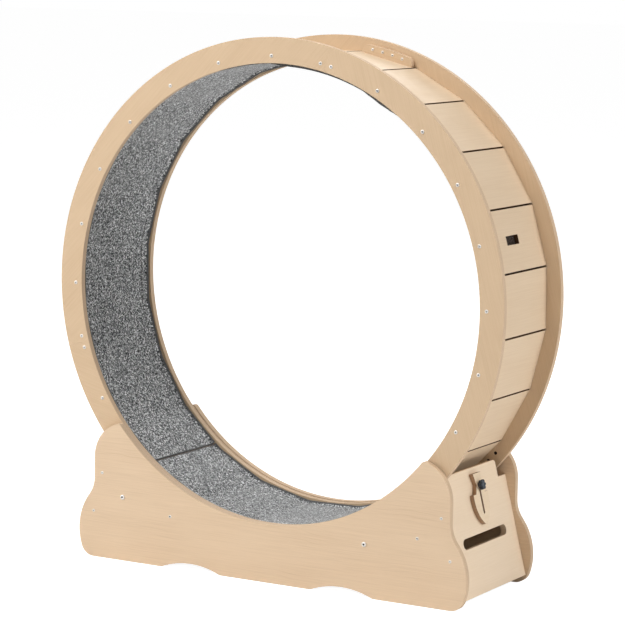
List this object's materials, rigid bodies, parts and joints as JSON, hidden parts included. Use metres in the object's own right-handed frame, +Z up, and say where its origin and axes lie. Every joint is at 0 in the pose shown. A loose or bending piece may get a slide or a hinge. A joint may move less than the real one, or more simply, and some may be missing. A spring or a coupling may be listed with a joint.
{
  "type": "cat exercise wheel",
  "caption": "Large plywood running wheel lined with carpet, riding on bearing rollers in a cradle base with leaning end panels, hand slots and a sliding wheel lock.",
  "frame": {"origin": "on the floor under the middle of the wheel", "axes": "+Z up, +X along the base to the end with the lock, -Y to the front"},
  "size_m": [0.9999, 0.2952, 1.0649],
  "materials": {
    "plywood": "satin",
    "carpet": "matte",
    "steel": "satin",
    "knob": "matte"
  },
  "bodies": {
    "base": {"front_side_panel": "plywood", "rear_side_panel": "plywood", "lock_end_panel": "plywood", "plain_end_panel": "plywood", "left_axle": "steel", "right_axle": "steel", "left_tie_rod": "steel", "right_tie_rod": "steel", "domed_bolts": "steel", "flat_bolts": "steel", "end_panel_screws": "steel", "bearing_hubs": "steel", "bearing_spacers": "steel", "lock_screw": "steel"},
    "wheel": {"front_ring_1": "plywood", "front_ring_2": "plywood", "front_ring_3": "plywood", "rear_ring_1": "plywood", "rear_ring_2": "plywood", "rear_ring_3": "plywood", "front_splice_plate": "plywood", "rear_splice_plate": "plywood", "front_slat_screws": "steel", "rear_slat_screws": "steel", "splice_screws": "steel", "slat_01": "plywood", "slat_02": "plywood", "slat_03": "plywood", "slat_04": "plywood", "slat_05": "plywood", "slat_06": "plywood", "slat_07": "plywood", "slat_08": "plywood", "slat_09": "plywood", "slat_10": "plywood", "slat_11": "plywood", "slat_12": "plywood", "slat_13": "plywood", "slat_14": "plywood", "slat_15": "plywood", "slat_16": "plywood", "slat_17": "plywood", "slat_18": "plywood", "slat_19": "plywood", "slat_20": "plywood", "slat_21": "plywood", "slat_22": "plywood", "slat_23": "plywood", "slat_24": "plywood", "carpet": "carpet"},
    "front_left_roller": {"front_left_roller": "steel"},
    "front_right_roller": {"front_right_roller": "steel"},
    "rear_left_roller": {"rear_left_roller": "steel"},
    "rear_right_roller": {"rear_right_roller": "steel"},
    "lock_plate": {"lock_plate": "plywood"},
    "lock_knob": {"lock_knob": "knob"}
  },
  "joints": [
    {"name": "wheel_spin", "type": "hinge", "parent": "base", "child": "wheel", "pos_m": [0, 0, 0.565], "axis": [0, 1, 0], "continuous": true},
    {"name": "front_left_roller_spin", "type": "hinge", "parent": "base", "child": "front_left_roller", "pos_m": [-0.2223, -0.124, 0.10466], "axis": [0, 1, 0], "continuous": true},
    {"name": "front_right_roller_spin", "type": "hinge", "parent": "base", "child": "front_right_roller", "pos_m": [0.2223, -0.124, 0.10466], "axis": [0, 1, 0], "continuous": true},
    {"name": "rear_left_roller_spin", "type": "hinge", "parent": "base", "child": "rear_left_roller", "pos_m": [-0.2223, 0.124, 0.10466], "axis": [0, 1, 0], "continuous": true},
    {"name": "rear_right_roller_spin", "type": "hinge", "parent": "base", "child": "rear_right_roller", "pos_m": [0.2223, 0.124, 0.10466], "axis": [0, 1, 0], "continuous": true},
    {"name": "lock_slide", "type": "slide", "parent": "base", "child": "lock_plate", "axis": [-0.2482, 0, 0.9687], "range_m": [0, 0.03]},
    {"name": "knob_turn", "type": "hinge", "parent": "base", "child": "lock_knob", "pos_m": [0.39809, 0, 0.2174], "axis": [0.9687, 0, 0.2482], "range_deg": [0, 360]}
  ],
  "couplings": [
    {"joint": "front_left_roller_spin", "follows": "wheel_spin", "ratio": -45.455},
    {"joint": "front_right_roller_spin", "follows": "wheel_spin", "ratio": -45.455},
    {"joint": "rear_left_roller_spin", "follows": "wheel_spin", "ratio": -45.455},
    {"joint": "rear_right_roller_spin", "follows": "wheel_spin", "ratio": -45.455}
  ]
}
